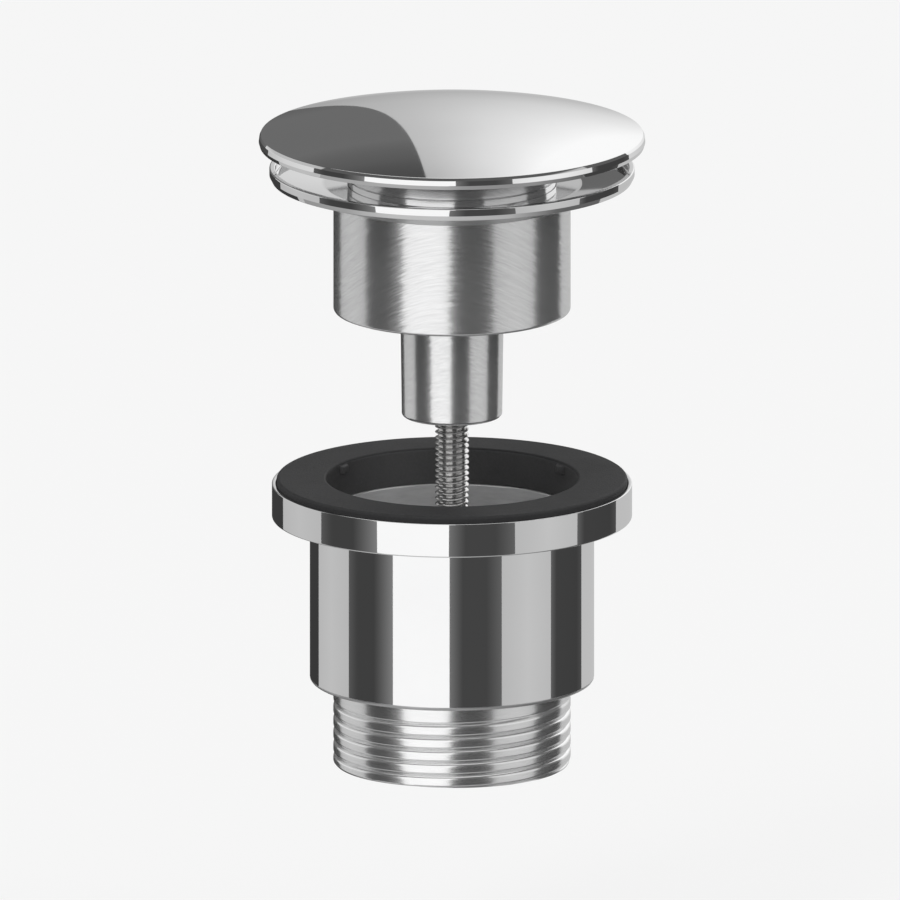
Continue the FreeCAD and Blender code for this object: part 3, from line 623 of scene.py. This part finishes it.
def makeDish():
    sizes = {"foot": 105.7, "radius": 32.25, "taper": 0.45, "taperHeight": 0.9, "band": 1.3, "edge": 0.22,
             "lip": 1.1, "lipDepth": 1.8, "lipRound": 0.2, "bend": 22.8, "bendFall": 1.05, "bendRound": 8.0,
             "fall": 1.2, "throat": 18.7, "throatEdge": 18.42, "edgeDepth": 0.25, "edgeFoot": 0.55,
             "cone": 3.5, "coneRound": 0.15, "sleeve": 20.95, "inside": 19.6, "neck": 3.7, "neckRound": 0.1,
             "bandRound": 0.1, "fineRound": 0.08, "segments": 256, "sharpAngle": 50.0}
    foot = sizes["foot"]
    coneFoot = foot - sizes["cone"]
    neckFoot = coneFoot - sizes["neck"]
    top = foot + sizes["taperHeight"] + sizes["band"]
    floor = top - sizes["lipDepth"]
    throat = floor - sizes["fall"]
    lip = sizes["radius"] - sizes["lip"]
    profile = roundProfile([
        (sizes["throat"], neckFoot, sizes["neckRound"]),
        (sizes["inside"], neckFoot, sizes["neckRound"]),
        (sizes["inside"], coneFoot, 0),
        (sizes["sleeve"], coneFoot, sizes["fineRound"]),
        (sizes["radius"] - sizes["taper"], foot, sizes["coneRound"]),
        (sizes["radius"], foot + sizes["taperHeight"], sizes["bandRound"]),
        (sizes["radius"], top, sizes["edge"]),
        (lip, top, sizes["edge"]),
        (lip, floor, sizes["lipRound"]),
        (sizes["bend"], floor - sizes["bendFall"], sizes["bendRound"]),
        (sizes["throatEdge"], throat, sizes["fineRound"]),
        (sizes["throatEdge"], throat - sizes["edgeDepth"], 0),
        (sizes["throat"], throat - sizes["edgeFoot"], 0),
    ])
    dish = makeTurned("polished_dish", profile, sizes["segments"])
    finishMesh(dish, sizes["sharpAngle"])
    return dish


def dishFinish(across, up, normal):
    # the cone's faces look down and take the darker satin chrome, painted shade; the floor's look up and take the
    # darker polished chrome, painted shade under the dome
    zones = {"coneLow": 102.3, "coneHigh": 105.65, "coneInside": 21.0, "coneFacing": -0.3,
             "floorTop": 106.3, "floorOutside": 31.0, "floorFacing": 0.9}
    if zones["coneLow"] < up < zones["coneHigh"] and across > zones["coneInside"] and normal.z < zones["coneFacing"]:
        return 1
    if up < zones["floorTop"] and across < zones["floorOutside"] and normal.z > zones["floorFacing"]:
        return 2
    return 0


def makeDome():
    sizes = {"foot": 111.8, "radius": 34.13, "footTaper": 0.23, "footRound": 0.1, "insideRound": 0.08,
             "lean": 0.11, "edgeTaper": 0.36, "taperHeight": 0.75, "band": 0.85, "edgeHeight": 0.5,
             "edge": 0.12, "rise": 4.4, "wall": 1.0, "plateTop": 1.1, "steps": 40, "segments": 256,
             "sharpAngle": 50.0}
    foot = sizes["foot"]
    taperTop = foot + sizes["taperHeight"]
    bandTop = taperTop + sizes["band"]
    rim = bandTop + sizes["edgeHeight"]
    rimRadius = sizes["radius"] - sizes["edgeTaper"]
    inner = sizes["radius"] - sizes["wall"]
    innerRim = foot + sizes["plateTop"]

    def arc(radius, base, top):
        # points from the rim to the axis, on one sphere
        rise = top - base
        sphere = (radius ** 2 + rise ** 2) / (2 * rise)
        stop = math.asin(radius / sphere)
        angles = [stop * (1 - step / sizes["steps"]) for step in range(sizes["steps"] + 1)]
        return [(sphere * math.sin(angle), top - sphere + sphere * math.cos(angle)) for angle in angles]

    outer = arc(rimRadius, rim, rim + sizes["rise"])
    within = arc(inner, innerRim, rim + sizes["rise"] - sizes["wall"])[::-1]
    corners = [
        (inner, foot, sizes["insideRound"]),
        (sizes["radius"] - sizes["footTaper"], foot, sizes["footRound"]),
        (sizes["radius"], taperTop, sizes["edge"]),
        (sizes["radius"] - sizes["lean"], bandTop, sizes["edge"]),
        (rimRadius, rim, sizes["edge"]),
    ]
    places = [(inner, innerRim)] + [corner[:2] for corner in corners] + [outer[4]]
    shaped = []
    for index, corner in enumerate(corners):
        shaped += roundCorner(places[index], corner[:2], places[index + 2], corner[2])
    dome = makeTurned("polished_dome", shaped + outer[1:] + within, sizes["segments"])
    finishMesh(dome, sizes["sharpAngle"])
    return dome


# the line between the hub's brushed wall and the turned band below it
hubLine = {"height": 106.1, "depth": 0.14, "below": 0.1, "above": 0.2, "inside": 17.0}


def makeHub():
    sizes = {"foot": 102.0, "footRound": 0.3, "top": 111.9, "topRound": 0.1, "radius": 18.35,
             "inside": 14.8, "insideRound": 0.15, "web": 109.4, "webRound": 0.6,
             "bossFoot": 105.0, "bossRadius": 6.0, "bossRound": 0.3, "hole": 3.05,
             "sealLevel": 104.0, "sealReach": 17.45, "sealRound": 1.22, "sealSteps": 16,
             "segments": 192, "sharpAngle": 40.0}
    radius = sizes["radius"]
    line = hubLine["height"]
    half = math.acos((radius - sizes["sealReach"]) / sizes["sealRound"])
    seat = []
    for step in range(sizes["sealSteps"] + 1):
        angle = -half - (2 * math.pi - 2 * half) * step / sizes["sealSteps"]
        seat.append((sizes["sealReach"] + sizes["sealRound"] * math.cos(angle),
                     sizes["sealLevel"] + sizes["sealRound"] * math.sin(angle), 0))
    profile = roundProfile([
        (sizes["inside"], sizes["foot"], sizes["insideRound"]), (radius, sizes["foot"], sizes["footRound"])] + seat + [
        (radius, line - hubLine["below"], 0), (radius - hubLine["depth"], line, 0),
        (radius, line + hubLine["above"], 0), (radius, sizes["top"], sizes["topRound"]),
        (sizes["hole"], sizes["top"], 0), (sizes["hole"], sizes["bossFoot"], 0),
        (sizes["bossRadius"], sizes["bossFoot"], sizes["bossRound"]),
        (sizes["bossRadius"], sizes["web"], sizes["webRound"]), (sizes["inside"], sizes["web"], sizes["webRound"])])
    hub = makeTurned("turned_hub", profile, sizes["segments"])
    finishMesh(hub, sizes["sharpAngle"])
    return hub


def hubFinish(across, up, normal):
    # a turned band below the line, brushed elsewhere
    return 1 if up < hubLine["height"] and across > hubLine["inside"] else 0


polishedDish = makeDish()
paintFaces(polishedDish, (polishedChrome, shadedSatinChrome, shadedDishChrome), dishFinish)
evenShading(polishedDish)
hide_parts("flange_dish")
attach(polishedDish, "insert")
polishedDome = makeDome()
polishedDome.data.materials.append(polishedChrome)
evenShading(polishedDome)
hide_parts("dome_cap")
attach(polishedDome, "plug")
turnedHub = makeHub()
paintFaces(turnedHub, (brushedChrome, turnedChrome), hubFinish)
evenShading(turnedHub)
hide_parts("plug_hub")
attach(turnedHub, "plug")
print("dish, dome and hub ready")


# gasket

def makeGasket():
    sizes = {"hole": 22.2, "holeEdge": 0.5, "spigot": 23.4, "spigotRound": 0.15, "outside": 31.0,
             "foot": 45.2, "seat": 46.5, "seatRound": 0.2, "top": 51.7, "edge": 0.55,
             "nibs": 6, "nibFoot": 49.6, "nibTop": 51.2, "nibWidth": 2.4, "nibReach": 0.75, "nibRows": 16,
             # higher powers square a nib's sides and ends
             "nibSides": 4, "nibEnds": 6,
             "segments": 540, "sharpAngle": 60.0}
    tall = sizes["nibTop"] - sizes["nibFoot"]

    def nibs(angle, across, up):
        # small round bumps on the wall of the hole
        if across > sizes["hole"] + sizes["holeEdge"] or not sizes["nibFoot"] < up < sizes["nibTop"]:
            return across
        spacing = 2 * math.pi / sizes["nibs"]
        away = (angle - math.pi / 2 + spacing / 2) % spacing - spacing / 2
        aside = abs(away) * sizes["hole"] / (sizes["nibWidth"] / 2)
        height = abs(2 * (up - sizes["nibFoot"]) / tall - 1)
        sides = max(0.0, 1 - aside ** sizes["nibSides"]) ** 0.5
        ends = max(0.0, 1 - height ** sizes["nibEnds"]) ** 0.5
        return across - sizes["nibReach"] * sides * ends

    rows = sizes["nibRows"]
    wall = [(sizes["hole"], sizes["nibTop"] - tall * row / rows, 0) for row in range(1, rows + 2)]
    profile = roundProfile([
        (sizes["hole"], sizes["foot"], sizes["spigotRound"]),
        (sizes["spigot"], sizes["foot"], sizes["spigotRound"]),
        (sizes["spigot"], sizes["seat"], 0), (sizes["outside"], sizes["seat"], sizes["seatRound"]),
        (sizes["outside"], sizes["top"], sizes["edge"]), (sizes["hole"], sizes["top"], sizes["holeEdge"])] + wall)
    gasket = makeTurned("moulded_gasket", profile, sizes["segments"], nibs)
    finishMesh(gasket, sizes["sharpAngle"])
    return gasket


def gasketFinish(across, up, normal):
    # the wall of the hole takes a lighter copy of the rubber: painted light on a wall that lies in shade
    zones = {"hole": 22.4, "top": 51.4}
    return 1 if across < zones["hole"] and up < zones["top"] else 0


mouldedGasket = makeGasket()
paintFaces(mouldedGasket, (gasketRubber, paintedLightRubber), gasketFinish)
evenShading(mouldedGasket)
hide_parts("rubber_gasket")
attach(mouldedGasket, "lower_half")
print("gasket ready")


# finishes on the modelled nodes

finishes = {
    "sleeve_casting": brushedChrome,
    "screw_washer": stainlessSteel,
    "collar_seal": sealRubber,
    "cartridge_housing": cartridgePlastic,
    "cartridge_liner": cartridgePlastic,
    "cam_ring": camPlastic,
    "cartridge_base": cartridgePlastic,
    "retaining_clip": stainlessSteel,
    "cartridge_spring": stainlessSteel,
    "plunger": plungerBrass,
    "plug_seal": sealRubber,
    "spring_washer": stainlessSteel,
    "hub_nut": stainlessSteel,
    "cap_plate": brushedChrome,
}
for name, material in finishes.items():
    node = nodes[name]
    if not node.data.materials:
        node.data.materials.append(material)
    for slot in node.material_slots:
        slot.link = "OBJECT"
        slot.material = material
print("finishes placed")


# floor and studio

studio = {
    "background": greyOf(246),
    "fill": 0.86,
    # the floor lies just below the screw's end at full clamp
    "floorLevel": -0.0376,
    "floorHalf": 4.0,
    "floorPaint": 0.15,
    "floorGlow": 0.77,
    # upright cards round the object, seen by reflections alone; metal is the share of light that chrome gives back
    "cardDistance": 7.0,
    "cardMiddle": 0.08,
    "metal": 0.9,
    "viewDrop": 13.4,
    "lowest": -36,
    "levelStep": 2,
    "levels": 45,
    "columns": 20,
    "backColumns": 40,
    "backCrowding": 1.6,
    # where the cards meet, in degrees round the object from the viewer to the right, low down and at eye level
    "edges": [(-177.4, -177.4), (-139, -146), (-93, -89), (-49, -53), (-2, 2.2), (41, 36), (88, 92.4),
              (131, 129.4), (182.6, 182.6)],
    # screen tones that polished walls show across each card
    "tones": [
        [(0, 38), (1, 72)],
        [(0, 180), (0.5, 188), (1, 182)],
        [(0, 85), (0.22, 62), (0.6, 62), (1, 125)],
        [(0, 247), (1, 247)],
        [(0, 112), (0.25, 66), (0.7, 66), (1, 95)],
        [(0, 182), (0.5, 192), (1, 184)],
        [(0, 95), (0.15, 62), (0.8, 60), (1, 75)],
        [(0, 186), (1, 186)],
    ],
    # of the six cards beside and before the object, the light ones brighten at eye level, the dark ones
    # are no darker than frontShade above it, and all end in the ceiling's tone
    "eyeLevelGain": 45,
    "eyeLevelReach": 10,
    "brightest": 247,
    "frontShade": 88,
    "frontShadeFrom": 3,
    "ceiling": 85,
    "ceilingFrom": 28,
    "ceilingBlend": 4,
    # tones behind the object, by height angle in degrees
    "backDark": [(-14, 55), (-8, 72), (0, 96), (6, 103), (28, 104), (32, 95), (36, 88), (39, 79), (44, 70)],
    "backLight": [(-12, 178), (-4, 172), (1, 180), (6, 189), (10, 193), (13, 196), (19, 200), (30, 202),
                  (37, 199), (42, 192), (50, 188)],
    "backGain": [(0, -15), (1, -11), (2.6, 0), (4.6, 14), (6.6, 25), (7.6, 31), (8.6, 38), (10, 48)],
    "backFrom": -12,
    "backBlend": 8,
    "backBrightest": 248,
    # tones of the ground by bearing, near the object and far from it
    "groundNear": [(-180, 180), (-60, 190), (-10, 192), (10, 178), (60, 170), (100, 130), (180, 130)],
    "groundFar": [(-180, 130), (-100, 155), (-40, 172), (-5, 168), (10, 142), (60, 140), (100, 95), (180, 95)],
    "groundRings": [0.002, 0.4, 0.6, 1.0],
    "groundTurns": 48,
    "groundReach": 1.02,
}


def makeStageMaterial(name):
    material = bpy.data.materials.new(name)
    material.use_nodes = True
    tree = material.node_tree
    tree.nodes.clear()
    return material, tree, addNode(tree, "ShaderNodeOutputMaterial")


def seenRays(tree):
    # 1 where the viewer, a reflection or a view through glass looks
    path = addNode(tree, "ShaderNodeLightPath").outputs
    seen = mathNode(tree, "ADD", path["Is Camera Ray"], path["Is Glossy Ray"], True)
    return mathNode(tree, "ADD", seen, path["Is Transmission Ray"], True)


def makeFloor():
    material, tree, out = makeStageMaterial("floorPaint")
    paint = addNode(tree, "ShaderNodeBsdfDiffuse", {"Color": [studio["floorPaint"]] * 3 + [1]})
    glow = addNode(tree, "ShaderNodeEmission", {"Color": (1, 1, 1, 1), "Strength": studio["floorGlow"]})
    both = addNode(tree, "ShaderNodeAddShader", {0: paint.outputs[0], 1: glow.outputs[0]})
    mix = addNode(tree, "ShaderNodeMixShader", {0: seenRays(tree), 1: paint.outputs[0], 2: both.outputs[0]})
    tree.links.new(mix.outputs[0], out.inputs[0])
    half = studio["floorHalf"]
    corners = [(x, y, studio["floorLevel"]) for x, y in ((-half, -half), (half, -half), (half, half), (-half, half))]
    floor = addObject("studio_floor", corners, [(0, 1, 2, 3)])
    floor.data.materials.append(material)
    floor.visible_glossy = False


def readTable(table, value):
    # straight lines between the pairs of a table
    if value <= table[0][0]:
        return table[0][1]
    for (low, first), (high, last) in zip(table, table[1:]):
        if value <= high:
            return first + (last - first) * (value - low) / (high - low)
    return table[-1][1]


def cardTone(index, share, bearing, rise):
    # screen tone of a card at a share of its width and a height angle in degrees
    tone = readTable(studio["tones"][index], share)
    last = len(studio["tones"]) - 1
    if index == 0:
        return readTable(studio["backDark"], rise)
    if index == last:
        if rise <= studio["backFrom"]:
            return tone
        gain = readTable(studio["backGain"], studio["edges"][-1][0] - bearing)
        behind = min(readTable(studio["backLight"], rise) + gain, studio["backBrightest"])
        return tone + (behind - tone) * min((rise - studio["backFrom"]) / studio["backBlend"], 1)
    if index % 2:
        gain = studio["eyeLevelGain"] * max(0.0, 1 - abs(rise) / studio["eyeLevelReach"])
        tone = min(tone + gain, studio["brightest"])
    elif rise > studio["frontShadeFrom"]:
        tone = max(tone, studio["frontShade"])
    blend = min(max((rise - studio["ceilingFrom"]) / studio["ceilingBlend"], 0.0), 1.0)
    return tone + (studio["ceiling"] - tone) * blend


def makeCardPaint():
    material, tree, out = makeStageMaterial("cardPaint")
    tone = addNode(tree, "ShaderNodeAttribute", attribute_name="tone").outputs["Fac"]
    glow = addNode(tree, "ShaderNodeEmission", {"Strength": tone})
    tree.links.new(glow.outputs[0], out.inputs[0])
    return material


def addStageMesh(name, vertices, faces, tones):
    # only reflections see it; each vertex carries its tone
    thing = addObject(name, vertices, faces)
    attribute = thing.data.attributes.new("tone", "FLOAT", "POINT")
    for place, tone in enumerate(tones):
        attribute.data[place].value = greyOf(tone) / studio["metal"]
    thing.data.materials.append(cardPaint)
    thing.visible_camera = False
    thing.visible_diffuse = False
    thing.visible_transmission = False
    thing.visible_shadow = False


def makeCard(index):
    distance = studio["cardDistance"]
    behind = index == len(studio["tones"]) - 1
    steps = studio["backColumns"] if behind else studio["columns"]
    crowding = studio["backCrowding"] if behind else 1
    vertices = []
    tones = []
    for row in range(studio["levels"]):
        level = studio["lowest"] + studio["levelStep"] * row
        climb = min(max((level + studio["viewDrop"]) / studio["viewDrop"], 0.0), 1.0)
        start, stop = [low + (high - low) * climb for low, high in studio["edges"][index:index + 2]]
        height = studio["cardMiddle"] + distance * math.tan(math.radians(level))
        for step in range(steps + 1):
            share = 1 - (step / steps) ** crowding
            bearing = start + (stop - start) * share
            angle = math.radians(bearing)
            vertices.append((distance * math.sin(angle), -distance * math.cos(angle), height))
            tones.append(cardTone(index, share, bearing, level))
    wide = steps + 1
    faces = []
    for row in range(studio["levels"] - 1):
        for corner in range(row * wide, row * wide + steps):
            faces.append((corner, corner + 1, corner + wide + 1, corner + wide))
    addStageMesh("studio_card_%d" % (index + 1), vertices, faces, tones)


def makeGround():
    # what polished faces that look down show, past the floor
    reach = studio["cardDistance"] * studio["groundReach"]
    low = studio["cardMiddle"] + reach * math.tan(math.radians(studio["lowest"]))
    rings = studio["groundRings"]
    turns = studio["groundTurns"]
    vertices = []
    tones = []
    faces = []
    for share in rings:
        blend = min(max((share - rings[1]) / (rings[2] - rings[1]), 0.0), 1.0)
        for step in range(turns):
            bearing = -180 + 360 * step / turns
            angle = math.radians(bearing)
            vertices.append((reach * share * math.sin(angle), -reach * share * math.cos(angle), low))
            near = readTable(studio["groundNear"], bearing)
            tones.append(near + (readTable(studio["groundFar"], bearing) - near) * blend)
    for ring in range(len(rings) - 1):
        inner = ring * turns
        outer = inner + turns
        for step in range(turns):
            following = (step + 1) % turns
            faces.append((inner + step, inner + following, outer + following, outer + step))
    addStageMesh("studio_ground", vertices, faces, tones)


def makeWorld():
    world = bpy.data.worlds.new("studioAir")
    bpy.context.scene.world = world
    world.use_nodes = True
    tree = world.node_tree
    tree.nodes.clear()
    out = addNode(tree, "ShaderNodeOutputWorld")
    fill, back = [addNode(tree, "ShaderNodeBackground", {"Color": (1, 1, 1, 1), "Strength": studio[name]})
                  for name in ("fill", "background")]
    mix = addNode(tree, "ShaderNodeMixShader", {0: seenRays(tree), 1: fill.outputs[0], 2: back.outputs[0]})
    tree.links.new(mix.outputs[0], out.inputs[0])


def turnTo(thing, direction):
    thing.rotation_euler = direction.to_track_quat("-Z", "Y").to_euler()
    bpy.context.scene.collection.objects.link(thing)


def addLamp(name, look):
    lamp = bpy.data.lights.new(name, "AREA")
    lamp.shape = "DISK"
    lamp.size = look["size"]
    lamp.energy = look["power"]
    thing = bpy.data.objects.new(name, lamp)
    thing.location = look["place"]
    thing.visible_glossy = False
    thing.visible_camera = False
    turnTo(thing, Vector(look["target"]) - Vector(look["place"]))


lamps = {
    "key_lamp": {"place": (-1.6, -2.2, 3.0), "target": (0, 0, 0.06), "size": 1.2, "power": 30.0},
    "side_lamp": {"place": (2.6, -1.0, 1.8), "target": (0, 0, 0.06), "size": 1.2, "power": 12.0},
}
cardPaint = makeCardPaint()
makeFloor()
for index in range(len(studio["tones"])):
    makeCard(index)
makeGround()
makeWorld()
for name, look in lamps.items():
    addLamp(name, look)
print("studio ready")


# camera

def makeCamera():
    view = {"drop": studio["viewDrop"], "middle": (-0.00035, 0.0, 0.05655), "width": 0.1589, "distance": 0.9,
            "near": 0.01, "far": 20.0}
    camera = bpy.data.cameras.new("studio_camera")
    camera.type = "ORTHO"
    camera.ortho_scale = view["width"]
    camera.clip_start = view["near"]
    camera.clip_end = view["far"]
    thing = bpy.data.objects.new("studio_camera", camera)
    drop = math.radians(view["drop"])
    back = Vector((0, -math.cos(drop), math.sin(drop)))
    thing.location = Vector(view["middle"]) + back * view["distance"]
    turnTo(thing, -back)
    bpy.context.scene.camera = thing


makeCamera()
bpy.context.scene.view_settings.view_transform = "Standard"
print("camera ready")
